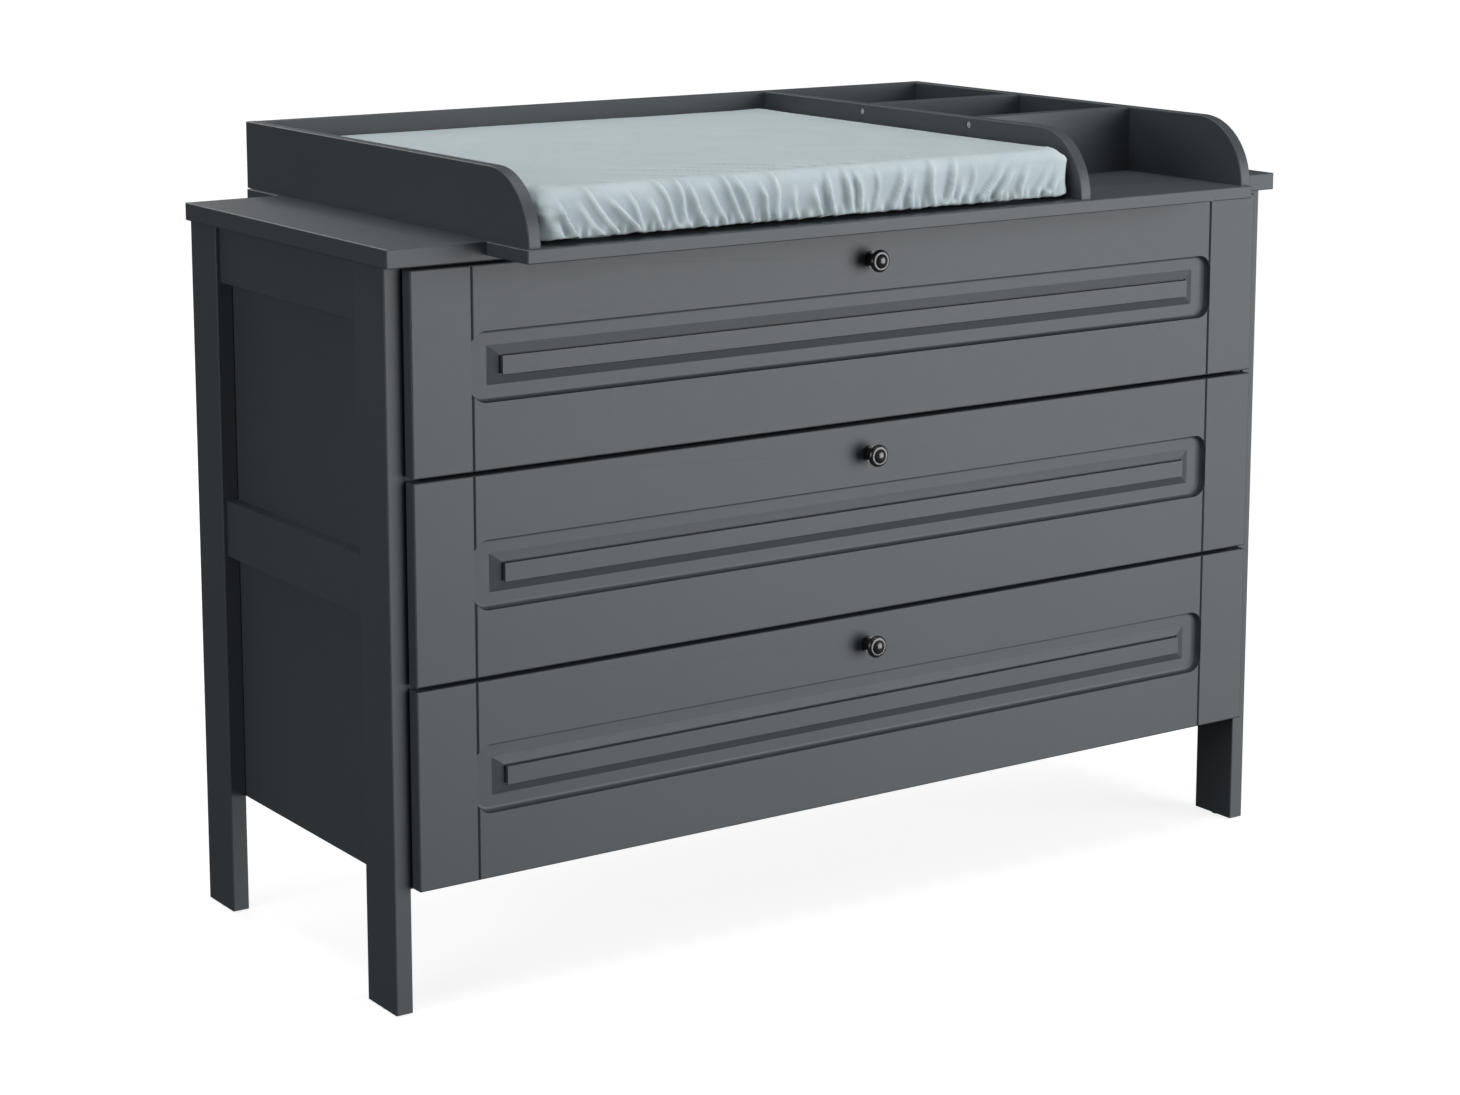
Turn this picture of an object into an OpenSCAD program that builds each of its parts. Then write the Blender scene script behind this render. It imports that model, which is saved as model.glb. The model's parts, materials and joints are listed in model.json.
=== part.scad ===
// Changing table: chest of three drawers with a changing top, a storage tray and a pad.
// Millimetres, +Z up, the drawers face -Y, origin at the middle of the footprint on the floor.

/* [Chest] */
// Width over the top panel
chest_w = 1335; // [1100:5:1500]
// Depth of the top panel
chest_d = 520.5; // [420:0.5:620]
// Height of the top panel's upper face above the floor
chest_h = 897; // [820:1:980]
// Thickness of the top panel
top_t = 22; // [16:1:30]
// Overhang of the top panel at each side of the frames
over_side = 6.5; // [0:0.5:20]
// Overhang of the top panel in front of the legs
over_front = 20.5; // [18:0.5:40]
// Thickness of the legs, seen from the front
leg_t = 22; // [18:1:40]
// Depth of the legs, seen from the side
leg_d = 70; // [40:1:100]
// Height of the side rails
rail_h = 70; // [40:1:100]
// Thickness of the side rails, flush with the inner face of the legs
rail_t = 16; // [12:1:22]
// Height of the middle side rail's lower edge above the floor
mid_rail_z = 462; // [350:1:550]
// Thickness of the carcass boards
carcass_t = 16; // [12:1:22]
// Clear height below the carcass
clear_h = 150; // [80:1:220]
// Thickness of the back panel
back_t = 5; // [3:0.5:10]

/* [Drawers] */
// Height of one drawer front
front_h = 237; // [180:1:260]
// Gap between two drawer fronts
front_gap = 4.5; // [2:0.5:8]
// Thickness of the drawer fronts
front_t = 19; // [16:0.5:25]
// How far the fronts stand in front of the legs
front_proud = 17.5; // [10:0.5:24]
// Gap between a drawer front and each leg
front_side_gap = 2; // [1:0.5:5]
// Distance of the upright grooves from the ends of a front
groove_in = 78.5; // [50:0.5:120]
// How far the sunk field of a front reaches past the grooves
pocket_over = 2; // [2:0.5:6]
// Height of the sunk field of a front
pocket_h = 83; // [50:1:120]
// Depth of the sunk field
pocket_d = 9.5; // [4:0.5:11]
// Corner radius of the sunk field
pocket_r = 20; // [10:1:30]
// Height of the knob above the middle of its front
knob_up = 81; // [60:1:100]
// Diameter of the knob
knob_d = 28; // [20:1:36]
// Thickness of the drawer sides
box_t = 12; // [10:1:16]
// Height of the drawer sides
box_h = 160; // [100:1:180]
// Depth of the drawer boxes behind the fronts
box_d = 450; // [350:5:460]
// Thickness of the drawer bottoms
floor_t = 4; // [3:0.5:6]
// Length of the drawer slides
slide_l = 440; // [350:5:450]

/* [Changing top] */
// Thickness of the boards and plates
board_t = 16; // [12:1:22]
// Height of the boards above the chest
board_h = 85; // [60:1:150]
// How far the front plate stands out in front of the top panel
plate_front = 91.5; // [60:0.5:200]
// Depth of the rear plate behind the top panel
plate_rear = 88; // [40:0.5:150]
// Width of both plates
plate_w = 1082; // [900:1:1250]
// Overall width over the two side boards
boards_w = 1080; // [900:1:1250]
// Sideways place of the boards from the middle of the chest
boards_shift = 4.5; // [-6:0.5:6]
// How far the back board stands behind the chest
back_out = 97; // [60:0.5:160]
// How far the boards end behind the front edge of the front plate
board_in = 7; // [0:0.5:20]
// Clear width of the storage tray
tray_w = 252.5; // [180:0.5:320]

/* [Pad] */
// Width of the pad
pad_w = 768; // [600:1:800]
// Depth of the pad
pad_d = 668; // [500:1:720]
// Height of the pad
pad_h = 65; // [40:1:80]

/* [Hidden] */
$fn = 48;
e = 0.01;
edge_r = 1.5;                            // rounding of board edges
play = 0.3;                              // gap between boards that touch on the real object
depth_all = plate_front + chest_d + back_out;
yT0 = -depth_all / 2 + plate_front;      // front edge of the top panel
yT1 = yT0 + chest_d;                     // back edge of the top panel
yL = yT0 + over_front;                   // front of the legs
hw = chest_w / 2 - over_side;            // half width over the legs
zT = chest_h;
zU = chest_h - top_t;                    // underside of the top panel
glide_h = 2;
glide_bore = 14;                         // depth of the glide nail's bore
in_w = 2 * (hw - leg_t - carcass_t);     // clear width inside the carcass
carcass_in = 3.5;                        // carcass boards end behind the front of the legs
yC0 = yL + carcass_in;                   // front edge of the carcass boards
yC1 = yT1 - back_t;                      // rear edge of the carcass boards
yF = yL - front_proud;                   // face of the drawer fronts
yB = yF + front_t;                       // back of the drawer fronts
front_w = 2 * (hw - leg_t - front_side_gap);
pocket_w = front_w - 2 * (groove_in - pocket_over);
front_z0 = clear_h + 1;
slide_w = 13;                            // both members together
slide_sheet = 1.2;                       // sheet thickness of the slides
cabinet_slide = [10.5, 44];              // width and height of the cabinet member
drawer_slide_h = 34;                     // height of the drawer member
slide_hole = 4.4;
cabinet_holes = [35, 224, 410];
drawer_holes = [50, 240, 400];
box_w = in_w - 2 * slide_w;
box_lift = 26;                           // lower edge of the drawer box above the front's
slide_up = 62;                           // middle of the slides above the drawer box's lower edge
bottom_up = 12;                          // drawer bottom above the box's lower edge
bottom_in = 6;                           // depth of the grooves that hold the drawer bottom
v_groove = 2.8;                          // side of the square bit that cuts the upright grooves
raised_in = [25, 18.5];                  // from the sunk field's edge to the raised field, across and up
raised_slope = [14.5, 10.5];             // widths of the raised field's end and long slopes
raised_rim = 5.5;                        // depth of the slopes' upper rim below the face
bar_quirk = [1.8, 2];                    // width and depth of the quirk round the flat bar
knob_thread = 4;
xb0 = boards_shift - boards_w / 2;       // outer face of the left board
xb1 = boards_shift + boards_w / 2;
xd1 = xb1 - board_t - tray_w;            // right face of the divider
xd0 = xd1 - board_t;                     // left face of the divider
yP0 = yT0 - plate_front;                 // front edge of the front plate
yb0 = yP0 + board_in;                    // front end of the boards
yb1 = yT1 + back_out;                    // back end of the boards
plate_x = [xb0 + board_t / 2, xd0 + board_t / 2, xb1 - board_t / 2];
plate_row = 45;                          // screw rows from the outer edge or the chest
plate_y = [yP0 + plate_row, yT1 + plate_row];
ycf = yL + 121;                          // middle of the front cross board
ycr = yL + 351;                          // middle of the rear cross board
cross_screw_z = [18, 75];                // screw heights in the cross boards
pilot = [30, 4.4];                       // depth and diameter of the plate screws' pilot bores
head_bore = [3.6, 9.6];                  // depth and diameter of the cross screws' sunk heads
shank_bore = [60, 5.4];
cloth_t = 3;                             // thickness of the cover over the core
under_t = 2.2;                           // thickness of the cover's underside
hem_in = 110;                            // width of the cover's underside round its opening
mdf = [0.31, 0.33, 0.34];
body = [0.27, 0.285, 0.295];
steel = [0.72, 0.73, 0.74];
black = [0.03, 0.03, 0.032];
cotton = [0.74, 0.79, 0.81];
foam = [0.9, 0.88, 0.78];

function front_z(n) = front_z0 + (3 - n) * (front_h + front_gap);
function front_mid(n) = front_z(n) + front_h / 2;

module rrect(a, b, r) {
    translate([r, 0]) square([a - 2 * r, b]);
    translate([0, r]) square([a, b - 2 * r]);
    for (x = [r, a - r], y = [r, b - r]) translate([x, y]) circle(r);
}
// board from p, size s, with every edge rounded by r
module board(p, s, r = edge_r) {
    translate(p) intersection() {
        linear_extrude(s[2]) rrect(s[0], s[1], r);
        translate([0, s[1], 0]) rotate([90, 0, 0]) linear_extrude(s[1]) rrect(s[0], s[2], r);
        rotate([90, 0, 90]) linear_extrude(s[0]) rrect(s[1], s[2], r);
    }
}
// left-hand children as they are, right-hand ones mirrored
module side(sgn) {
    if (sgn > 0) mirror([1, 0, 0]) children();
    else children();
}
// local +z becomes the direction from the face into a drawer front
module into_front(x, z) { translate([x, yF, z]) rotate([-90, 0, 0]) children(); }

// ---------------------------------------------------------------- chest
module leg(x, y) {
    color(mdf) difference() {
        translate([x, y, glide_h]) linear_extrude(zU - glide_h) rrect(leg_t, leg_d, 2);
        translate([x + leg_t / 2, y + leg_d / 2, glide_h - e]) cylinder(h = glide_bore, d = 3.4);
    }
}
module leg_front_left() leg(-hw, yL);
module leg_front_right() leg(hw - leg_t, yL);
module leg_rear_left() leg(-hw, yT1 - leg_d);
module leg_rear_right() leg(hw - leg_t, yT1 - leg_d);

module side_rail(sgn, z) {
    color(mdf) side(sgn) translate([-hw + leg_t - rail_t, yL + leg_d, z])
        cube([rail_t, yT1 - yL - 2 * leg_d, rail_h]);
}
module side_rail_top_left() side_rail(-1, zU - rail_h);
module side_rail_top_right() side_rail(1, zU - rail_h);
module side_rail_mid_left() side_rail(-1, mid_rail_z);
module side_rail_mid_right() side_rail(1, mid_rail_z);

module side_panel(sgn) {
    color(mdf) side(sgn) translate([-hw + leg_t, yC0, clear_h])
        cube([carcass_t, yC1 - yC0, zU - clear_h]);
}
module side_panel_left() side_panel(-1);
module side_panel_right() side_panel(1);

module top_panel() color(mdf) board([-chest_w / 2, yT0, zU], [chest_w, chest_d, top_t]);
module bottom_panel() color(body) translate([-in_w / 2, yC0, clear_h]) cube([in_w, yC1 - yC0, carcass_t]);
module back_panel() {
    half = hw - leg_t - 0.5;
    color(body) translate([-half, yC1, clear_h]) cube([2 * half, back_t, zU - clear_h]);
}
module top_front_rail() color(body) translate([-in_w / 2, yC0, zU - carcass_t]) cube([in_w, 80, carcass_t]);

module foot_glides() color(black)
    for (x = [-hw + leg_t / 2, hw - leg_t / 2], y = [yL + leg_d / 2, yT1 - leg_d / 2])
        translate([x, y, 0]) {
            cylinder(h = glide_h, d = 18);
            cylinder(h = glide_bore, d = 3);
        }

// ---------------------------------------------------------------- slides
// cabinet member: open channel against the carcass side
module slide_cabinet(n, sgn) {
    z = front_z(n) + box_lift + slide_up;
    h = cabinet_slide[1];
    color(steel) side(sgn) translate([-in_w / 2, yC0 + 2, z]) difference() {
        translate([0, 0, -h / 2]) cube([cabinet_slide[0], slide_l, h]);
        translate([slide_sheet, -1, -h / 2 + slide_sheet])
            cube([slide_w, slide_l + 2, h - 2 * slide_sheet]);
        for (y = cabinet_holes) translate([-1, y, 0]) rotate([0, 90, 0]) cylinder(h = 4, d = slide_hole);
    }
}
// drawer member: narrower channel against the drawer side, open towards the carcass
module slide_drawer(n, sgn) {
    z = front_z(n) + box_lift + slide_up;
    h = drawer_slide_h;
    color(steel) side(sgn) translate([-in_w / 2, yB + 4, z]) difference() {
        translate([3, 0, -h / 2]) cube([slide_w - 3, slide_l, h]);
        translate([1, -1, -h / 2 + slide_sheet])
            cube([slide_w - 1 - slide_sheet, slide_l + 2, h - 2 * slide_sheet]);
        for (y = drawer_holes) translate([5, y, 0]) rotate([0, 90, 0]) cylinder(h = 12, d = slide_hole);
    }
}

// ---------------------------------------------------------------- drawers
// cross-section of the sunk field: straight walls, coved foot, half width h
module cove(h) {
    c = 5;
    translate([-h, -2]) square([2 * h, pocket_d - c + 2]);
    translate([-h + c, -2]) square([2 * (h - c), pocket_d + 2]);
    for (s = [-1, 1]) translate([s * (h - c), pocket_d - c]) circle(c);
}
module sunk_field() {
    hx = pocket_w / 2;
    hy = pocket_h / 2;
    translate([-hx + pocket_r, 0, 0]) rotate([90, 0, 90]) linear_extrude(2 * (hx - pocket_r)) cove(hy);
    translate([0, hy - pocket_r, 0]) rotate([90, 0, 0]) linear_extrude(2 * (hy - pocket_r)) cove(hx);
    for (x = [-1, 1], y = [-1, 1]) translate([x * (hx - pocket_r), y * (hy - pocket_r), 0])
        rotate_extrude() intersection() {
            cove(pocket_r);
            translate([0, -3]) square([pocket_r, pocket_d + 4]);
        }
}
// hipped raised field standing in the sunk field, with a quirk and a flat bar level with the face
module raised_field() {
    a = pocket_w / 2 - raised_in.x;
    b = pocket_h / 2 - raised_in.y;
    w = raised_slope;
    h0 = pocket_d;
    h1 = raised_rim;
    difference() {
        intersection() {
            translate([-a, 0, 0]) rotate([90, 0, 90]) linear_extrude(2 * a)
                polygon([[-b, h0 + 1], [-b, h0], [-b + w.y, h1], [b - w.y, h1], [b, h0], [b, h0 + 1]]);
            translate([0, b, 0]) rotate([90, 0, 0]) linear_extrude(2 * b)
                polygon([[-a, h0 + 1], [-a, h0], [-a + w.x, h1], [a - w.x, h1], [a, h0], [a, h0 + 1]]);
        }
        translate([-a + w.x, -b + w.y, 0])
            cube([2 * (a - w.x), 2 * (b - w.y), h1 + bar_quirk[1]]);
    }
    q = bar_quirk[0];
    translate([-a + w.x + q, -b + w.y + q, 0])
        cube([2 * (a - w.x - q), 2 * (b - w.y - q), pocket_d]);
}
module drawer_front(n) {
    z0 = front_z(n);
    v = v_groove;
    color(mdf) difference() {
        board([-front_w / 2, yF, z0], [front_w, front_t, front_h], 2);
        for (x = [-front_w / 2 + groove_in, front_w / 2 - groove_in])
            translate([x, yF, z0 - 1]) rotate([0, 0, 45]) translate([-v / 2, -v / 2, 0])
                cube([v, v, front_h + 2]);
        into_front(0, front_mid(n) + 1) difference() {
            sunk_field();
            raised_field();
        }
        into_front(0, front_mid(n) + knob_up) translate([0, 0, -1])
            cylinder(h = front_t + 2, d = knob_thread + 0.6);
        translate([-box_w / 2 + box_t - bottom_in, yB - bottom_in, z0 + box_lift + bottom_up])
            cube([box_w - 2 * (box_t - bottom_in), bottom_in + 1, floor_t]);
    }
}
module drawer_side(n, sgn) {
    z = front_z(n) + box_lift;
    color(body) side(sgn) difference() {
        translate([-box_w / 2, yB, z]) cube([box_t, box_d, box_h]);
        translate([-box_w / 2 + box_t - bottom_in, yB - 1, z + bottom_up])
            cube([bottom_in + 1, box_d + 2, floor_t]);
    }
}
module drawer_back(n) {
    z = front_z(n) + box_lift;
    color(body) difference() {
        translate([-box_w / 2 + box_t, yB + box_d - box_t, z]) cube([box_w - 2 * box_t, box_t, box_h]);
        translate([-box_w / 2, yB + box_d - box_t - 1, z + bottom_up])
            cube([box_w, bottom_in + 1, floor_t]);
    }
}
// bottom board, a little smaller than the grooves around it
module drawer_bottom(n) {
    z = front_z(n) + box_lift + bottom_up;
    d = bottom_in - 0.2;
    color(body) translate([-box_w / 2 + box_t - d, yB - d, z])
        cube([box_w - 2 * (box_t - d), box_d - box_t + 2 * d, floor_t]);
}
module knob(n) {
    r = knob_d / 2;
    color(black) into_front(0, front_mid(n) + knob_up) mirror([0, 0, 1]) difference() {
        union() {
            cylinder(h = 3, r = 10);
            cylinder(h = 17, r = 8);
            rotate_extrude() intersection() {
                union() {
                    translate([0, 15]) square([r - 4, 8]);
                    translate([r - 4, 19]) circle(4);
                }
                square([r, 30]);
            }
            rotate_extrude() intersection() {
                translate([0, 13.2]) circle(13.3);
                translate([0, 20]) square([r, 8]);
            }
        }
        translate([0, 0, -1]) cylinder(h = 15, d = knob_thread + 0.3);
    }
}
module knob_screw(n) {
    color(steel) into_front(0, front_mid(n) + knob_up) {
        translate([0, 0, -12]) cylinder(h = 12 + front_t + e, d = knob_thread);
        translate([0, 0, front_t]) difference() {
            cylinder(h = 2.6, d = 8.4);
            translate([-0.6, -5, 1.4]) cube([1.2, 10, 3]);
            translate([-5, -0.6, 1.4]) cube([10, 1.2, 3]);
        }
    }
}

// ---------------------------------------------------------------- changing top
// upright board seen from the side: straight run with a quarter-round front end
module end_profile(r) {
    intersection() {
        rrect(board_t, 2 * board_h, r);
        translate([0, board_h]) square([board_t, board_h]);
    }
}
module upright(x, yend) {
    color(mdf) difference() {
        translate([x, yb0 + board_h, zT]) {
            translate([0, yend - yb0 - board_h, -board_h]) rotate([90, 0, 0])
                linear_extrude(yend - yb0 - board_h) end_profile(edge_r);
            intersection() {
                translate([board_t, 0, 0]) rotate([0, -90, 0]) rotate_extrude()
                    intersection() {
                        translate([-board_h, 0]) rrect(2 * board_h, board_t, edge_r);
                        square([board_h, board_t]);
                    }
                translate([0, -board_h, 0]) cube([board_t, board_h, board_h]);
            }
        }
        // pilot bores for the screws that hold the plates
        for (y = plate_y) translate([x + board_t / 2, y, zT - 1]) cylinder(h = pilot[0], d = pilot[1]);
    }
}
// bores for screws that enter a board's face: [x, y, height above the chest, direction along x]
module screw_bores(faces) {
    for (f = faces) translate([f[0], f[1], zT + f[2]]) rotate([0, 90 * f[3], 0]) {
        translate([0, 0, -1]) cylinder(h = head_bore[0] + 1, d = head_bore[1]);
        cylinder(h = shank_bore[0], d = shank_bore[1]);
    }
}
left_screws = [for (y = [ycf, ycr], z = cross_screw_z) [xd0, y, z, 1]];
right_screws = [for (y = [ycf, ycr], z = cross_screw_z) [xb1, y, z, -1]];
module changer_board_left() upright(xb0, yb1);
module changer_board_right() difference() {
    upright(xb1 - board_t, yb1);
    color(mdf) screw_bores(right_screws);
}
module changer_divider() difference() {
    upright(xd0, yb1 - board_t);
    color(mdf) screw_bores(left_screws);
}
module changer_back_board() color(mdf) translate([xb0 + board_t, yb1 - board_t, zT - board_h])
    rotate([90, 0, 90]) linear_extrude(boards_w - 2 * board_t) end_profile(edge_r);
module cross_board(y) color(mdf) difference() {
    translate([xd1, y - board_t / 2, zT - board_h]) rotate([90, 0, 90])
        linear_extrude(tray_w) end_profile(edge_r);
    screw_bores(left_screws);
    screw_bores(right_screws);
}
// countersunk screw from below through a plate into a board
module plate_screw() {
    rotate_extrude() polygon([[0, 0.4], [4.4, 0.4], [2, 3], [2, 38], [0, 40]]);
}
module changer_screws() color(steel) {
    for (y = plate_y, x = plate_x) translate([x, y, zT - board_t]) plate_screw();
    for (f = concat(left_screws, right_screws))
        translate([f[0], f[1], zT + f[2]]) rotate([0, 90 * f[3], 0]) difference() {
            union() {
                translate([0, 0, 0.6]) cylinder(h = 2.4, d = 7);
                translate([0, 0, 1.6]) cylinder(h = 2, d = 9.2);
                translate([0, 0, 3]) cylinder(h = 45, d = 5);
            }
            translate([0, 0, -1]) cylinder(h = 3, d = 3.4, $fn = 6);
        }
}
module changer_front_plate() color(mdf) difference() {
    board([-plate_w / 2, yP0, zT - board_t], [plate_w, plate_front - play, board_t]);
    plate_bores(plate_y[0]);
}
module changer_rear_plate() color(mdf) difference() {
    board([-plate_w / 2, yT1 + play, zT - board_t], [plate_w, plate_rear - play, board_t]);
    plate_bores(plate_y[1]);
}
module plate_bores(y) for (x = plate_x) translate([x, y, zT - board_t]) rotate_extrude()
    polygon([[0, -1], [4.8, -1], [4.8, 0.4], [2.3, 3.2], [2.3, board_t + 1], [0, board_t + 1]]);

// ---------------------------------------------------------------- pad
xp = (xb0 + board_t + xd0) / 2;
yp = yb1 - board_t - 4 - pad_d / 2;
module pad_block(r) {
    at = [xp - pad_w / 2 + cloth_t, yp - pad_d / 2 + cloth_t, zT + play + under_t];
    board(at, [pad_w - 2 * cloth_t, pad_d - 2 * cloth_t, pad_h - play - under_t - cloth_t], r);
}
module pad_core() color(foam) pad_block(14);
module pad_cover() color(cotton) difference() {
    board([xp - pad_w / 2, yp - pad_d / 2, zT + play], [pad_w, pad_d, pad_h - play], 16);
    pad_block(14);
    // opening that the elastic hem closes around, below the core
    translate([xp - pad_w / 2 + hem_in, yp - pad_d / 2 + hem_in, zT - 1])
        cube([pad_w - 2 * hem_in, pad_d - 2 * hem_in, 4]);
}

leg_front_left();
leg_front_right();
leg_rear_left();
leg_rear_right();
side_rail_top_left();
side_rail_top_right();
side_rail_mid_left();
side_rail_mid_right();
side_panel_left();
side_panel_right();
top_panel();
bottom_panel();
back_panel();
top_front_rail();
foot_glides();
slide_cabinet(1, -1);  // slide_1_cabinet_left
slide_cabinet(1, 1);  // slide_1_cabinet_right
slide_cabinet(2, -1);  // slide_2_cabinet_left
slide_cabinet(2, 1);  // slide_2_cabinet_right
slide_cabinet(3, -1);  // slide_3_cabinet_left
slide_cabinet(3, 1);  // slide_3_cabinet_right
drawer_front(1);  // drawer_1_front
drawer_side(1, -1);  // drawer_1_side_left
drawer_side(1, 1);  // drawer_1_side_right
drawer_back(1);  // drawer_1_back
drawer_bottom(1);  // drawer_1_bottom
knob(1);  // drawer_1_knob
knob_screw(1);  // drawer_1_knob_screw
slide_drawer(1, -1);  // drawer_1_slide_left
slide_drawer(1, 1);  // drawer_1_slide_right
drawer_front(2);  // drawer_2_front
drawer_side(2, -1);  // drawer_2_side_left
drawer_side(2, 1);  // drawer_2_side_right
drawer_back(2);  // drawer_2_back
drawer_bottom(2);  // drawer_2_bottom
knob(2);  // drawer_2_knob
knob_screw(2);  // drawer_2_knob_screw
slide_drawer(2, -1);  // drawer_2_slide_left
slide_drawer(2, 1);  // drawer_2_slide_right
drawer_front(3);  // drawer_3_front
drawer_side(3, -1);  // drawer_3_side_left
drawer_side(3, 1);  // drawer_3_side_right
drawer_back(3);  // drawer_3_back
drawer_bottom(3);  // drawer_3_bottom
knob(3);  // drawer_3_knob
knob_screw(3);  // drawer_3_knob_screw
slide_drawer(3, -1);  // drawer_3_slide_left
slide_drawer(3, 1);  // drawer_3_slide_right
changer_front_plate();
changer_rear_plate();
changer_board_left();
changer_board_right();
changer_divider();
changer_back_board();
cross_board(ycf);  // changer_cross_front
cross_board(ycr);  // changer_cross_rear
changer_screws();
pad_core();
pad_cover();
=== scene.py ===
"""Looks of the changing table: lacquered chest, changing top, and a pad in a gathered cotton cover."""

import json
import math

import bmesh
import bpy
import numpy as np
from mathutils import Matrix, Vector


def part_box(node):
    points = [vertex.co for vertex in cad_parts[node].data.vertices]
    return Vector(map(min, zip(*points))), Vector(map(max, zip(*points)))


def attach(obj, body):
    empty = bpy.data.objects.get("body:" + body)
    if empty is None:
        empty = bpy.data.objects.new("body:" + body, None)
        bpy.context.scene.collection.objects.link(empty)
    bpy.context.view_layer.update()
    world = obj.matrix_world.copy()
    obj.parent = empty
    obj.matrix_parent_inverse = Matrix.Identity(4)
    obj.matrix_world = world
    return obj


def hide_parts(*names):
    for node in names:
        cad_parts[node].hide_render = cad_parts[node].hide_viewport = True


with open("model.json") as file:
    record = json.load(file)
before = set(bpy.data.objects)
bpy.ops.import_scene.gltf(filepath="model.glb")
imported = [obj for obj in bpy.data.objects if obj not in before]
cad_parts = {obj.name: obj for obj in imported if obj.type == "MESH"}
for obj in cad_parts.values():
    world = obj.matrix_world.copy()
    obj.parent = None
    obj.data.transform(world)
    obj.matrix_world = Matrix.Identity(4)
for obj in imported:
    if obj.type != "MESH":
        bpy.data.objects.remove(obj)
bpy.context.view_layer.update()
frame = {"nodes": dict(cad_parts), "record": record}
NODES = frame["nodes"]
SLOT_OF = {s["node"]: s["material_slot"] for s in frame["record"]["subparts"]}

# Camera: stands at the front left, looks a little down
CAMERA_AT = (-2.319, -3.353, 1.378)
CAMERA_YAW = 34.32        # degrees from +Y towards +X
CAMERA_PITCH = 9.79       # degrees below the horizontal
CAMERA_LENS = 78.8        # mm on a 36 mm sensor
CAMERA_SHIFT_Y = -0.13

# Linear colours
LACQUER = (0.062, 0.072, 0.081)
# colour of the painted highlight along the graphite lacquer's edges
LACQUER_EDGE_HIGHLIGHT = (0.100, 0.110, 0.118)
BOARD = (0.052, 0.057, 0.061)
COTTON = (0.500, 0.582, 0.610)
COTTON_LIGHT = (0.590, 0.668, 0.690)
# darker copy of the cotton, painted into the hollows of the folds as shade
COTTON_PAINTED_SHADE = (0.390, 0.468, 0.500)
FOAM = (0.80, 0.76, 0.60)


# ---------------------------------------------------------------- node helpers
class Shader:
    """A small wrapper that keeps the node code of a material short."""

    def __init__(self, name, **constants):
        self.material = bpy.data.materials.new(name)
        self.material.use_nodes = True
        self.tree = self.material.node_tree
        self.bsdf = self.tree.nodes["Principled BSDF"]
        for socket, value in constants.items():
            self.bsdf.inputs[socket.replace("_", " ")].default_value = value
        self.coords = self.tree.nodes.new("ShaderNodeTexCoord").outputs["Object"]

    def node(self, kind, inputs=None, **settings):
        made = self.tree.nodes.new(kind)
        for key, value in settings.items():
            setattr(made, key, value)
        for key, value in (inputs or {}).items():
            if isinstance(value, bpy.types.NodeSocket):
                self.tree.links.new(value, made.inputs[key])
            else:
                made.inputs[key].default_value = value
        return made

    def link(self, output, socket):
        self.tree.links.new(output, self.bsdf.inputs[socket])

    def noise(self, scale, detail=3.0, roughness=0.5, stretch=(1, 1, 1)):
        mapped = self.node("ShaderNodeMapping", {"Vector": self.coords, "Scale": stretch})
        return self.node("ShaderNodeTexNoise", {"Vector": mapped.outputs[0], "Scale": scale,
                                                "Detail": detail, "Roughness": roughness}).outputs["Fac"]

    def spread(self, value, low, high, start=0.3, end=0.7):
        return self.node("ShaderNodeMapRange", {"Value": value, "From Min": start, "From Max": end,
                                                "To Min": low, "To Max": high}).outputs["Result"]

    def mix(self, factor, a, b):
        made = self.node("ShaderNodeMix", data_type="RGBA")
        for socket, value in ((made.inputs[0], factor), (made.inputs[6], a), (made.inputs[7], b)):
            if isinstance(value, bpy.types.NodeSocket):
                self.tree.links.new(value, socket)
            elif isinstance(value, tuple):
                socket.default_value = (*value, 1.0)
            else:
                socket.default_value = value
        return made.outputs[2]

    def math(self, operation, a, b=0.0):
        return self.node("ShaderNodeMath", {0: a, 1: b}, operation=operation).outputs[0]

    def bump(self, height, distance, strength=1.0, below=None):
        inputs = {"Height": height, "Distance": distance, "Strength": strength}
        if below is not None:
            inputs["Normal"] = below
        return self.node("ShaderNodeBump", inputs).outputs["Normal"]

    def edges(self, radius):
        """1 along convex and concave edges, 0 on open faces."""
        rounded = self.node("ShaderNodeBevel", {"Radius": radius}, samples=4).outputs["Normal"]
        flat = self.node("ShaderNodeNewGeometry").outputs["Normal"]
        same = self.node("ShaderNodeVectorMath", {0: rounded, 1: flat}, operation="DOT_PRODUCT")
        return self.spread(same.outputs["Value"], 1.0, 0.0, 0.90, 0.999)


def lacquer(name, colour, light, roughness):
    """Silk-matt lacquer on board: faint orange peel, soft tone changes, and a patchy painted highlight along
    its edges.
    """
    s = Shader(name, IOR=1.5, Specular_IOR_Level=0.42)
    tone = s.mix(s.spread(s.noise(4.0, 4.0), 0.0, 1.0), tuple(c * 0.965 for c in colour),
                 tuple(c * 1.035 for c in colour))
    speck = s.mix(s.spread(s.noise(1400.0, 2.0), 0.0, 0.22), tone, tuple(c * 0.6 for c in colour))
    # painted highlight: along convex and concave edges the colour goes patchily towards the lighter colour
    painted_edge_highlight = s.math("MULTIPLY", s.edges(0.0012), s.spread(s.noise(35.0, 4.0), 0.15, 0.55))
    s.link(s.mix(painted_edge_highlight, speck, light), "Base Color")
    s.link(s.spread(s.noise(160.0, 3.0), roughness - 0.012, roughness + 0.018), "Roughness")
    peel = s.bump(s.noise(420.0, 2.0), 0.0004, 0.05)
    s.link(s.bump(s.noise(2200.0, 1.0), 0.0001, 0.12, peel), "Normal")
    return s.material


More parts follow.
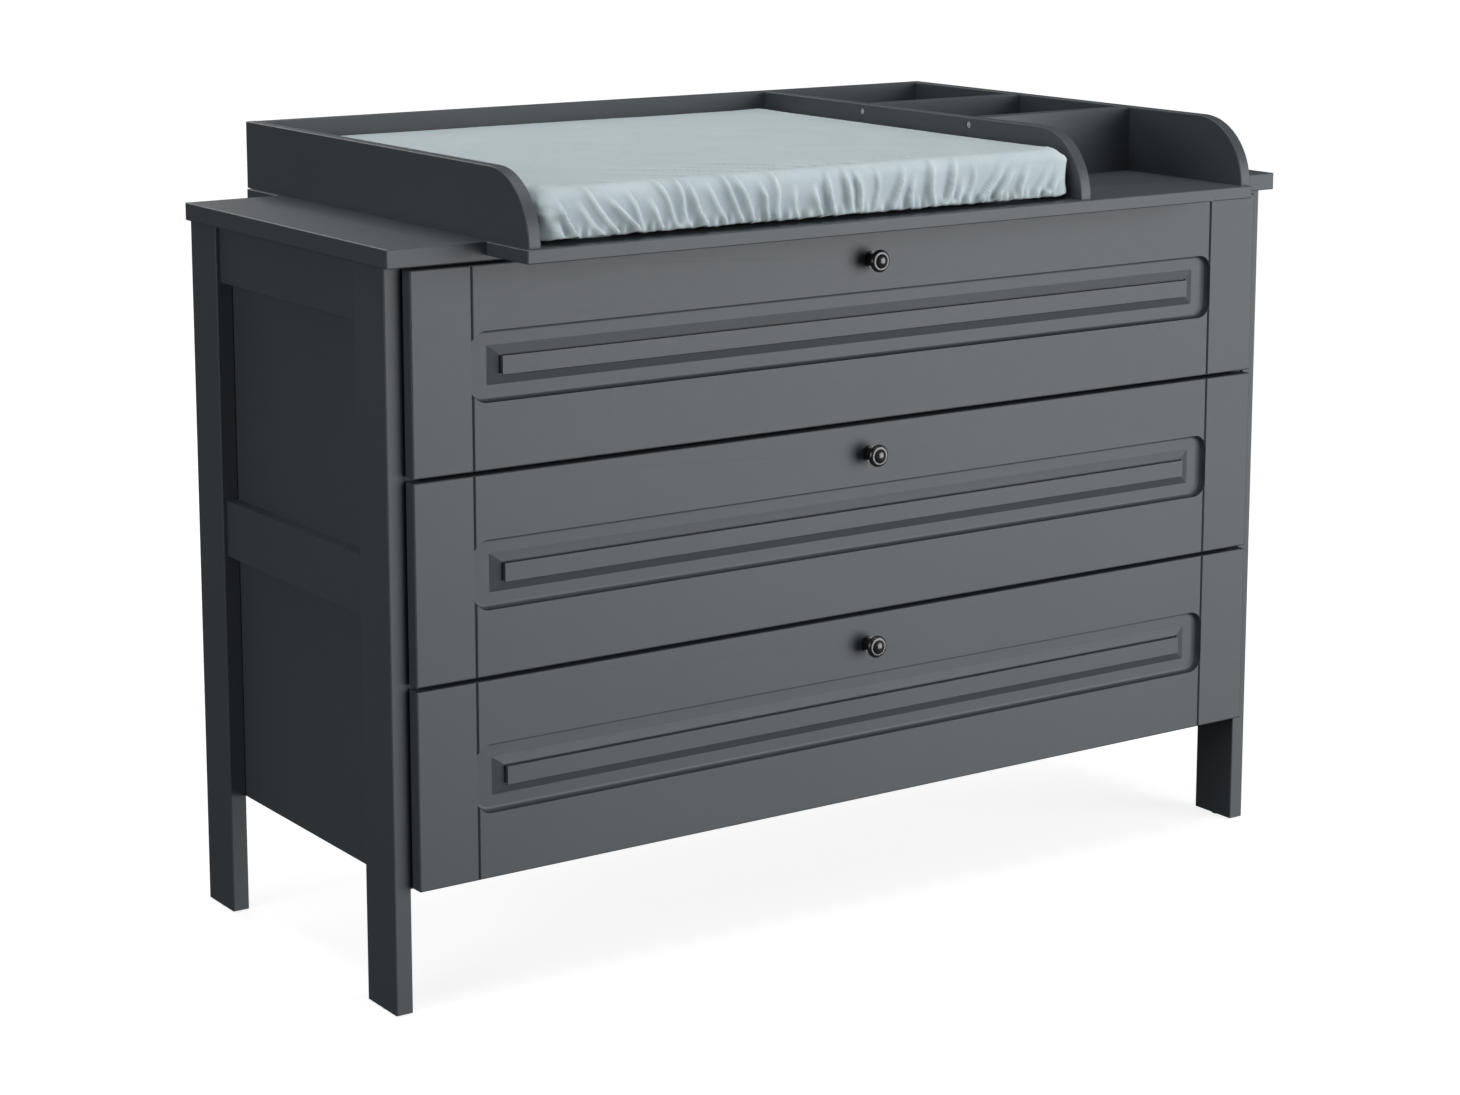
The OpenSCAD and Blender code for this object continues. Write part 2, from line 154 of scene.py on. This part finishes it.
def steel():
    s = Shader("zinc_steel", Metallic=1.0)
    drawn = s.spread(s.noise(60.0, 4.0, stretch=(1, 0.08, 1)), 0.0, 1.0)
    s.link(s.mix(drawn, (0.62, 0.63, 0.65), (0.78, 0.79, 0.80)), "Base Color")
    s.link(s.spread(s.noise(90.0, 4.0, stretch=(1, 0.05, 1)), 0.26, 0.42), "Roughness")
    s.link(s.bump(s.noise(900.0, 2.0, stretch=(1, 0.03, 1)), 0.0001, 0.2), "Normal")
    return s.material


def knob_lacquer():
    s = Shader("knob_black", IOR=1.5, Coat_Weight=0.6, Coat_Roughness=0.12)
    tone = s.spread(s.noise(300.0), 0.0, 1.0)
    s.link(s.mix(tone, (0.008, 0.008, 0.009), (0.014, 0.014, 0.015)), "Base Color")
    s.link(s.spread(s.noise(160.0, 4.0), 0.24, 0.36), "Roughness")
    s.link(s.bump(s.noise(700.0), 0.0002, 0.08), "Normal")
    return s.material


def glide_plastic():
    s = Shader("glide_plastic")
    tone = s.spread(s.noise(200.0), 0.0, 1.0)
    s.link(s.mix(tone, (0.018, 0.018, 0.018), (0.03, 0.03, 0.03)), "Base Color")
    s.link(s.spread(s.noise(400.0), 0.5, 0.65), "Roughness")
    s.link(s.bump(s.noise(1500.0), 0.0002, 0.3), "Normal")
    return s.material


def cotton():
    """Plain-weave cotton: two crossing sets of threads, slubs, faint mottling, and painted shade in the
    hollows of the folds.
    """
    s = Shader("cotton_cover", Sheen_Weight=0.12, Sheen_Roughness=0.5, IOR=1.45, Specular_IOR_Level=0.2)
    split = s.node("ShaderNodeSeparateXYZ", {"Vector": s.coords})
    threads = 2 * math.pi / 0.0007
    across = s.math("SINE", s.math("MULTIPLY", split.outputs["X"], threads))
    along = s.math("SINE", s.math("MULTIPLY", split.outputs["Y"], threads))
    rising = s.math("SINE", s.math("MULTIPLY", split.outputs["Z"], threads))
    weave = s.math("ADD", s.math("MULTIPLY", across, along), s.math("MULTIPLY", across, rising))
    slub = s.spread(s.noise(500.0, 2.0, stretch=(1, 0.1, 1)), 0.0, 1.0)
    mottle = s.spread(s.noise(16.0, 5.0, 0.6), 0.0, 1.0)
    # painted shade: where pointiness is low, in the hollows of the folds, the cotton goes towards a darker
    # copy of its colour
    painted_fold_shade = s.spread(s.node("ShaderNodeNewGeometry").outputs["Pointiness"], 0.0, 1.0, 0.44, 0.56)
    tone = s.mix(painted_fold_shade, tuple(c * 0.86 for c in COTTON_PAINTED_SHADE), s.mix(mottle, COTTON, COTTON_LIGHT))
    s.link(s.mix(s.math("MULTIPLY", slub, 0.10), tone, (0.80, 0.86, 0.88)), "Base Color")
    s.link(s.spread(mottle, 0.84, 0.92, 0.0, 1.0), "Roughness")
    fine = s.bump(weave, 0.0001, 0.15)
    s.link(s.bump(s.noise(260.0, 4.0), 0.0004, 0.20, fine), "Normal")
    return s.material


def foam():
    s = Shader("foam", Specular_IOR_Level=0.1)
    cells = s.node("ShaderNodeTexVoronoi", {"Vector": s.coords, "Scale": 700.0}).outputs["Distance"]
    s.link(s.mix(s.spread(s.noise(40.0, 4.0), 0.0, 1.0), tuple(c * 0.9 for c in FOAM), FOAM), "Base Color")
    s.link(s.spread(s.noise(50.0), 0.85, 0.95), "Roughness")
    s.link(s.bump(cells, 0.0008, 0.6), "Normal")
    return s.material


MATERIALS = {
    # the third colour of each lacquer is the colour of its painted edge highlight
    "painted_board": lacquer("graphite_lacquer", LACQUER, LACQUER_EDGE_HIGHLIGHT, 0.46),
    "carcass_board": lacquer("carcass_melamine", BOARD, LACQUER, 0.55),
    "steel": steel(),
    "knob_black": knob_lacquer(),
    "glide": glide_plastic(),
    "cotton": cotton(),
    "foam": foam(),
}
for name, node in NODES.items():
    node.data.materials.clear()
    node.data.materials.append(MATERIALS[SLOT_OF[name]])


# ---------------------------------------------------------------- pad
COVER_LOW, COVER_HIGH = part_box("pad_cover")
CORE_LOW, CORE_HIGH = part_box("pad_core")
CELL = 0.0028             # mesh spacing of the cover along its front
CELL_DEEP = 0.0062        # and on average from front to back
CELL_DOWN = 0.0030        # and down its sides
TURN_RINGS = 5            # rows of the mesh round the top edge
FOOT_RINGS = 4            # round the foot
FLANGE_RINGS = 9          # and under the pad
INSET = 0.0032            # the cloth lies this far inside the CAD cover where nothing lifts it
TOP_ROUND = 0.014
FOOT_ROUND = 0.005
CORNER = 0.020            # corner radius seen from above
FRONT_FOLD = 0.0130       # how far a fold of height 1 stands off the front
SIDE_FOLD = 0.0042        # and off the other sides, which have less room
SIDE_ROOM = 0.0030        # the side folds may pass the CAD cover by this much
LEAN = 0.042              # folds run towards the middle of their side by this much on the way down
HEM_IN = 0.100            # the opening below starts this far from the edge
CLOTH_FRAMES = 20
CLOTH_REACH = 0.008       # the simulation may move a point by this much
FOOT_UP = 0.0034          # the gathered edge stands this high above the underside
FRONT_BULGE = 0.0050      # the front bellies out by this much


def smooth(t):
    t = np.clip(t, 0.0, 1.0)
    return t * t * (3 - 2 * t)


def rounded(points, half, radius):
    """Moves points of a rectangle to one with round corners (square to disc in each corner)."""
    inner = np.clip(points, -(half - radius), half - radius)
    d = (points - inner) / radius
    both = (np.abs(d[:, 0]) > 1e-9) & (np.abs(d[:, 1]) > 1e-9)
    x, y = d[:, 0].copy(), d[:, 1].copy()
    d[both, 0] = x[both] * np.sqrt(1 - y[both] ** 2 / 2)
    d[both, 1] = y[both] * np.sqrt(1 - x[both] ** 2 / 2)
    return inner + d * radius


def side_place(plan, half):
    """For points on the outline: -1 to 1 along their side, and 1 on the front, 0 on the other sides."""
    near_x = half[0] - np.abs(plan[:, 0]) < half[1] - np.abs(plan[:, 1])
    along = np.where(near_x, plan[:, 1] / half[1] * np.sign(plan[:, 0]),
                     -plan[:, 0] / half[0] * np.sign(plan[:, 1]))
    front = smooth((-plan[:, 1] - half[1] + 0.03) / 0.03)
    return np.clip(along, -1, 1), front


def fold_field(s, v, along, length):
    """Height of the folds, 0 to 1.25, at place s on the outline and v from the top edge (0) to the foot
    (1). Long slanting folds with one steep flank start near the top edge, fine puckers near the hem.
    along is the place on one side, -1 to 1: folds are taller near its start, calmer near its end."""
    rng = np.random.default_rng(7)
    height = np.zeros((len(v), len(s)))
    place = 0.0
    while place < length:
        place += rng.uniform(0.014, 0.033)
        i = int(np.argmin(np.abs(s - place % length)))
        calm, lively = max(along[i], 0.0), max(-along[i], 0.0)
        size = rng.uniform(0.40, 1.0) * (1 - 0.2 * calm + 0.25 * lively)
        start = rng.uniform(-0.35, 0.30) + 0.30 * calm
        width, wander = rng.uniform(0.0034, 0.0060), rng.uniform(0.6, 1.5)
        lean = -along[i] * LEAN * wander
        grow = smooth((v - start) / 0.40) * size * (0.78 + 0.22 * v)
        middle = place + lean * (v - 0.6) + 0.0025 * np.sin(5 * v + place * 40)
        off = (s[None, :] - middle[:, None] + length / 2) % length - length / 2
        steep = np.where(off * lean > 0, 0.55, 1.65)
        ridge = np.exp(-np.abs(off / (width * steep * (0.7 + 0.5 * v[:, None]))) ** 1.25)
        height = np.maximum(height, grow[:, None] * ridge) + 0.15 * np.minimum(height, grow[:, None] * ridge)
    wave = np.sin(2 * math.pi * s / 0.0135 + 1.8 * np.sin(s * 47) + 1.1 * np.sin(s * 131))
    pucker = smooth((v - 0.66) / 0.34)[:, None] * (0.5 + 0.5 * wave)[None, :] ** 1.5 * 0.42
    return np.clip(height + pucker, 0, 1.25)


def unevenness(x, y):
    """Height of the low waves of the cover's top."""
    return 0.0005 * np.sin(9 * x + 2) * np.sin(11 * y + 1) + 0.0002 * np.sin(23 * x + 5 * y)


def top_creases(x, inward, half_width):
    """Height of the creases that run from the front edge onto the top: short ones all along it, and a
    group of longer slanting ones left of the middle. inward is the distance from the front edge."""
    rng = np.random.default_rng(11)
    z = np.zeros(len(x))
    for _ in range(46):
        start = rng.uniform(-0.97, 0.97) * half_width
        slant = -start / half_width * rng.uniform(0.8, 2.2)
        reach, size = rng.uniform(0.025, 0.085), rng.uniform(0.0006, 0.0015)
        width = rng.uniform(0.0024, 0.005)
        off = (x - start + slant * inward) / math.hypot(1, slant)
        z += size * smooth(1 - inward / reach) * np.exp(-(off / width) ** 2)
    for k in range(13):
        start = (-0.42 + 0.055 * k + rng.uniform(-0.012, 0.012)) * half_width
        slant, reach, size = rng.uniform(0.8, 1.3), rng.uniform(0.08, 0.20), rng.uniform(0.0022, 0.0044)
        off = (x - start + slant * inward + 0.004 * np.sin(40 * inward + k)) / math.hypot(1, slant)
        ridge = np.exp(-np.abs(off / 0.0036) ** 1.4) - 0.35 * np.exp(-((off - 0.009) / 0.005) ** 2)
        z += size * smooth(1 - inward / reach) ** 0.7 * ridge
    return z * smooth(inward / 0.012)


def cover_top(half, radius):
    """The flat top in plan, finer towards the front: its points, their grid and the loop round them."""
    nx, ny = int(2 * half[0] / CELL), int(2 * half[1] / CELL_DEEP)
    back = np.linspace(0, 1, ny + 1)
    back = 0.64 * back + 0.36 * back ** 2
    gx, gy = np.meshgrid(np.linspace(-half[0], half[0], nx + 1), (2 * back - 1) * half[1])
    top = rounded(np.stack([gx.ravel(), gy.ravel()], 1), half, radius)
    grid = np.arange((nx + 1) * (ny + 1)).reshape(ny + 1, nx + 1)
    loop = np.concatenate([grid[0, :-1], grid[:-1, -1], grid[-1, :0:-1], grid[:0:-1, 0]])
    return top, grid, loop


def side_profile(z_top, z_low):
    """The side's section as (distance outwards, height) rows: round-over, wall, foot and underside
    flange. Also gives how many rows lie above the foot."""
    wall = z_top - TOP_ROUND - z_low - FOOT_ROUND
    drops = np.linspace(0, 1, int(wall / CELL_DOWN))[1:]
    rows = [(TOP_ROUND * math.sin(t), z_top - TOP_ROUND * (1 - math.cos(t)))
            for t in np.linspace(0, math.pi / 2, TURN_RINGS + 1)[1:]]
    rows += [(TOP_ROUND, z_top - TOP_ROUND - wall * t) for t in drops]
    rows += [(TOP_ROUND - FOOT_ROUND * (1 - math.cos(t)), z_low + FOOT_ROUND * (1 - math.sin(t)))
             for t in np.linspace(0, math.pi / 2, FOOT_RINGS + 1)[1:]]
    rows += [(TOP_ROUND - FOOT_ROUND - HEM_IN * t, z_low)
             for t in np.linspace(0, 1, FLANGE_RINGS + 1)[1:]]
    return np.array(rows), TURN_RINGS + len(drops)


def cover_sides(edge, half, radius, z_top, z_low):
    """The rings of points from the top's edge down to the opening below, with their folds."""
    inner = np.clip(edge, -(half - radius), half - radius)
    normal = (edge - inner) / np.linalg.norm(edge - inner, axis=1)[:, None]
    outline = edge + normal * TOP_ROUND
    step = np.linalg.norm(np.roll(outline, -1, 0) - outline, axis=1)
    s, length = np.concatenate([[0], np.cumsum(step)[:-1]]), step.sum()
    profile, above_foot = side_profile(z_top, z_low)
    beyond = np.arange(len(profile)) >= above_foot + FOOT_RINGS
    v = np.clip((z_top - profile[:, 1]) / (z_top - z_low), 0, 1)
    along, front = side_place(edge, half)
    field = fold_field(s, v, along, length)
    field *= front[None, :] + (1 - front)[None, :] * smooth((v - 0.25) / 0.35)[:, None]

    # outwards: folds that flatten as the foot turns under, and the belly of the front
    under = np.clip((TOP_ROUND - profile[:, 0]) / FOOT_ROUND, 0, 1)
    under[:TURN_RINGS] = 0
    reach = (SIDE_FOLD + (FRONT_FOLD - SIDE_FOLD) * front)[None, :] * field
    reach *= (1 - 0.55 * under)[:, None]
    reach[beyond] = 0
    belly = FRONT_BULGE * np.sin(math.pi / 2 * smooth(v / 0.6)) * (1 - 0.35 * smooth((v - 0.7) / 0.3))
    belly[beyond] = 0
    out = profile[:, :1] + reach + belly[:, None] * front[None, :]
    plan = edge[None] + normal[None] * out[..., None]

    # upwards: each fold raises the foot a little, and the flange sinks to the underside
    lift = 0.0038 * field * smooth((v - 0.60) / 0.40)[:, None] * (0.35 + 0.65 * front)[None]
    heights = profile[:, 1:] + lift
    flange = np.linspace(0, 1, FLANGE_RINGS + 1)[1:]
    pleat = 0.0006 * np.sin(2 * math.pi * s / 0.016 + 1.5 * np.sin(s * 61))
    sunk = FOOT_UP - 0.0022 * smooth(flange / 0.8)
    heights[beyond] = COVER_LOW.z + sunk[:, None] + pleat[None, :] * flange[:, None]
    rings = [np.column_stack([plan[k], heights[k]]) for k in range(len(profile))]
    return rings, above_foot, smooth((v - 0.10) / 0.35)


def cover_mesh():
    """The cover as one sheet: top, round-over, gathered walls, foot and an underside flange with an
    opening. Gives the object, the number of points of the top, the indices from the foot on, and the
    opening's edge. Its group slack says how much longer than needed the cloth is cut."""
    centre = (COVER_LOW + COVER_HIGH) / 2
    half = np.array([COVER_HIGH.x - centre.x, COVER_HIGH.y - centre.y]) - INSET - TOP_ROUND
    radius = max(CORNER - TOP_ROUND, 0.006)
    z_top, z_low = COVER_HIGH.z - 0.0012, COVER_LOW.z + FOOT_UP
    top, grid, loop = cover_top(half, radius)
    rings, above_foot, slack = cover_sides(top[loop], half, radius, z_top, z_low)
    points = np.concatenate([np.column_stack([top, z_top + unevenness(top[:, 0], top[:, 1])]), *rings])
    points[:, :2] += (centre.x, centre.y)
    quads = [np.stack([grid[:-1, :-1], grid[:-1, 1:], grid[1:, 1:], grid[1:, :-1]], -1).reshape(-1, 4)]
    ring_at = [len(top) + k * len(loop) + np.arange(len(loop)) for k in range(len(rings))]
    for upper, lower in zip([loop] + ring_at, ring_at):
        quads.append(np.stack([upper, lower, np.roll(lower, -1), np.roll(upper, -1)], 1))
    mesh = bpy.data.meshes.new("pad_cover_cloth")
    mesh.from_pydata(points.tolist(), [], np.concatenate(quads).tolist())
    mesh.update()
    cover = bpy.data.objects.new("pad_cover_cloth", mesh)
    bpy.context.scene.collection.objects.link(cover)
    group = cover.vertex_groups.new(name="slack")
    for k in range(above_foot):
        group.add(ring_at[k].tolist(), float(slack[k]), "REPLACE")
    first_fixed = int(ring_at[above_foot][0])
    return cover, len(top), list(range(first_fixed, len(points))), points[ring_at[-1]]


def positions(obj):
    co = np.empty(len(obj.data.vertices) * 3)
    obj.data.vertices.foreach_get("co", co)
    return co.reshape(-1, 3)


def cloth_modifier(cover):
    """Cotton that is cut too long where the group slack says so, held at the group hem. Light suction
    instead of pressure keeps it on the foam, as the elastic hem does."""
    cloth = cover.modifiers.new("Cloth", "CLOTH")
    set_ = cloth.settings
    set_.quality = 6
    set_.mass = 0.12
    set_.tension_stiffness = set_.compression_stiffness = 12.0
    set_.shear_stiffness = 4.0
    set_.bending_stiffness = 0.12
    set_.air_damping = 2.0
    set_.use_pressure = True
    set_.uniform_pressure_force = -0.5
    set_.vertex_group_shrink = "slack"
    set_.shrink_min = 0.0
    set_.shrink_max = -0.10
    set_.effector_weights.gravity = 0.0
    set_.vertex_group_mass = "hem"
    cloth.collision_settings.distance_min = 0.001
    cloth.collision_settings.use_self_collision = False
    cloth.point_cache.frame_start, cloth.point_cache.frame_end = 1, CLOTH_FRAMES
    return cloth


def relax_cover(cover, fixed, block):
    """Lets the cloth settle on the foam, where its gathered walls buckle. The points in fixed stay."""
    start = positions(cover)
    pinned = cover.vertex_groups.new(name="hem")
    pinned.add(fixed, 1.0, "REPLACE")
    block.modifiers.new("Collision", "COLLISION")
    block.collision.thickness_outer = 0.001
    block.collision.cloth_friction = 5.0
    cloth = cloth_modifier(cover)
    scene = bpy.context.scene
    scene.frame_start, scene.frame_end = 1, CLOTH_FRAMES
    for f in range(1, CLOTH_FRAMES + 1):
        scene.frame_set(f)
    moved = cover.evaluated_get(bpy.context.evaluated_depsgraph_get())
    settled = np.empty(len(start) * 3)
    moved.data.vertices.foreach_get("co", settled)
    settled = settled.reshape(-1, 3)
    cover.modifiers.remove(cloth)
    block.modifiers.clear()
    scene.frame_set(1)
    change = settled - start
    far = np.linalg.norm(change, axis=1)
    change *= np.minimum(1.0, CLOTH_REACH / np.maximum(far, 1e-9))[:, None]
    print(f"cloth moved {far.mean() * 1000:.2f} mm on average, {far.max() * 1000:.2f} mm at most")
    settled = start + change
    settled[:, 0] = np.clip(settled[:, 0], COVER_LOW.x - SIDE_ROOM, COVER_HIGH.x + SIDE_ROOM)
    settled[:, 1] = np.minimum(settled[:, 1], COVER_HIGH.y + SIDE_ROOM)
    settled[:, 2] = np.maximum(settled[:, 2], COVER_LOW.z + 0.0004)
    cover.data.vertices.foreach_set("co", settled.ravel())
    cover.data.update()


def crease_top(cover, count):
    """Adds the creases to the cover's top, which is its first count vertices."""
    at = positions(cover)
    middle = (COVER_LOW.x + COVER_HIGH.x) / 2
    x, inward = at[:count, 0] - middle, at[:count, 1] - at[:count, 1].min()
    at[:count, 2] += top_creases(x, inward, (COVER_HIGH.x - COVER_LOW.x) / 2)
    cover.data.vertices.foreach_set("co", at.ravel())
    cover.data.update()


def foam_block():
    """The foam core: a block with softly rounded edges and a slightly uneven, hand-cut surface."""
    size = CORE_HIGH - CORE_LOW - Vector((0.004, 0.004, 0.004))
    middle = (CORE_LOW + CORE_HIGH) / 2
    mesh = bpy.data.meshes.new("pad_foam_block")
    bm = bmesh.new()
    bmesh.ops.create_cube(bm, size=1.0)
    for vert in bm.verts:
        vert.co = Vector(vert.co[k] * size[k] + middle[k] for k in range(3))
    upright = [e for e in bm.edges if abs(e.verts[0].co.z - e.verts[1].co.z) > size.z / 2]
    bmesh.ops.bevel(bm, geom=upright, offset=0.030, segments=7, profile=0.5, affect="EDGES")
    rims = [e for e in bm.edges if abs(e.verts[0].co.z - e.verts[1].co.z) < size.z / 2]
    bmesh.ops.bevel(bm, geom=rims, offset=0.012, segments=5, profile=0.5, affect="EDGES")
    long_edges = [e for e in bm.edges if e.calc_length() > 0.1]
    bmesh.ops.subdivide_edges(bm, edges=long_edges, cuts=24, use_grid_fill=True)
    for vert in bm.verts:
        vert.co.z += 0.0005 * math.sin(31 * vert.co.x + 3) * math.sin(27 * vert.co.y)
    bm.to_mesh(mesh)
    bm.free()
    for polygon in mesh.polygons:
        polygon.use_smooth = True
    block = bpy.data.objects.new("pad_foam_block", mesh)
    bpy.context.scene.collection.objects.link(block)
    block.data.materials.append(MATERIALS["foam"])
    return block


def hem_band(inner_edge):
    """The elastic casing round the opening below: a flat gathered tube."""
    around = 8
    n = len(inner_edge)
    inward = np.roll(inner_edge, -1, 0) - np.roll(inner_edge, 1, 0)
    inward = np.stack([-inward[:, 1], inward[:, 0]], 1) / np.linalg.norm(inward[:, :2], axis=1)[:, None]
    place = np.arange(n) * 0.7
    ruffle = 0.0012 * np.sin(place) + 0.0006 * np.sin(2.7 * place)
    points = []
    for k in range(around):
        a = 2 * math.pi * k / around
        xy = inner_edge[:, :2] + inward * (0.0045 * math.cos(a) + 0.002 + ruffle)[:, None]
        points.append(np.column_stack([xy, np.full(n, COVER_LOW.z + 0.0012) + 0.0008 * math.sin(a)]))
    index = np.arange(around * n).reshape(around, n)
    next_round, next_along = np.roll(index, -1, 0), np.roll(index, -1, 1)
    quads = np.stack([index, next_along, np.roll(next_round, -1, 1), next_round], -1).reshape(-1, 4)
    mesh = bpy.data.meshes.new("pad_cover_hem")
    mesh.from_pydata(np.concatenate(points).tolist(), [], quads.tolist())
    mesh.update()
    for polygon in mesh.polygons:
        polygon.use_smooth = True
    hem = bpy.data.objects.new("pad_cover_hem", mesh)
    bpy.context.scene.collection.objects.link(hem)
    hem.data.materials.append(MATERIALS["cotton"])
    return hem


def pad():
    block = foam_block()
    cover, on_top, fixed, inner_edge = cover_mesh()
    relax_cover(cover, fixed, block)
    crease_top(cover, on_top)
    thick = cover.modifiers.new("Thickness", "SOLIDIFY")
    thick.thickness = 0.0006
    thick.offset = -1.0
    cover.data.materials.append(MATERIALS["cotton"])
    bpy.context.view_layer.objects.active = cover
    bpy.ops.object.modifier_apply(modifier="Thickness")
    for polygon in cover.data.polygons:
        polygon.use_smooth = True
    hem = hem_band(inner_edge)
    for piece, slot in ((cover, "cotton"), (hem, "cotton"), (block, "foam")):
        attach(piece, "pad")
    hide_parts("pad_cover")
    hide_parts("pad_core")


# ---------------------------------------------------------------- stage, light and camera
def camera():
    data = bpy.data.cameras.new("camera")
    data.lens = CAMERA_LENS
    data.sensor_width = 36.0
    data.shift_y = CAMERA_SHIFT_Y
    data.clip_end = 100.0
    made = bpy.data.objects.new("camera", data)
    made.location = CAMERA_AT
    made.rotation_euler = (math.radians(90 - CAMERA_PITCH), 0, math.radians(-CAMERA_YAW))
    bpy.context.scene.collection.objects.link(made)
    bpy.context.scene.camera = made


def softbox(name, azimuth, elevation, distance, width, height, power, target=(0, 0, 0.55)):
    """A rectangular light that looks at target. azimuth runs from -Y towards +X."""
    a, e = math.radians(azimuth), math.radians(elevation)
    away = Vector((math.sin(a) * math.cos(e), -math.cos(a) * math.cos(e), math.sin(e)))
    data = bpy.data.lights.new(name, "AREA")
    data.shape = "RECTANGLE"
    data.size = width
    data.size_y = height
    data.energy = power
    made = bpy.data.objects.new(name, data)
    made.location = Vector(target) + away * distance
    made.rotation_euler = away.to_track_quat("Z", "Y").to_euler()
    bpy.context.scene.collection.objects.link(made)


def emitter(name, colour, near, far):
    """A glowing surface of the stage, whose strength goes from near at the middle to far some metres away."""
    s = Shader(name, Base_Color=(*colour, 1.0), Roughness=0.9, Emission_Color=(1.0, 1.0, 1.0, 1.0))
    away = s.node("ShaderNodeVectorMath", {0: s.coords}, operation="LENGTH").outputs["Value"]
    s.link(s.spread(away, near, far, 2.5, 8.0), "Emission Strength")
    return s.material


def hide_from_light(obj):
    """The camera sees obj, but no light bounces off it."""
    obj.visible_diffuse = False
    obj.visible_glossy = False
    obj.visible_transmission = False


def stage():
    bpy.ops.mesh.primitive_circle_add(vertices=96, radius=30.0, fill_type="NGON", location=(0, 0, 0))
    floor = bpy.context.object
    floor.name = "floor"
    floor.data.materials.append(emitter("pale_floor", (0.42, 0.42, 0.42), 0.84, 1.0))
    bpy.ops.mesh.primitive_uv_sphere_add(segments=48, ring_count=24, radius=29.0)
    dome = bpy.context.object
    dome.name = "backdrop"
    dome.data.materials.append(emitter("white_backdrop", (0.0, 0.0, 0.0), 1.0, 1.0))
    for obj in (floor, dome):
        hide_from_light(obj)
        obj.visible_shadow = False


def lights():
    softbox("key", 33, 2, 6.6, 5.4, 5.0, 440)
    softbox("overhead", 10, 86, 3.4, 3.0, 3.0, 87, target=(0, 0, 0.9))
    softbox("left_fill", -75, 12, 5.0, 2.6, 2.2, 68)
    softbox("rear_fill", 185, 30, 5.0, 3.0, 2.4, 70)
    world = bpy.data.worlds.new("room")
    bpy.context.scene.world = world
    world.use_nodes = True
    world.node_tree.nodes["Background"].inputs["Color"].default_value = (0.97, 0.99, 1.0, 1.0)
    world.node_tree.nodes["Background"].inputs["Strength"].default_value = 0.07


pad()
camera()
stage()
lights()
bpy.context.scene.view_settings.view_transform = "Standard"
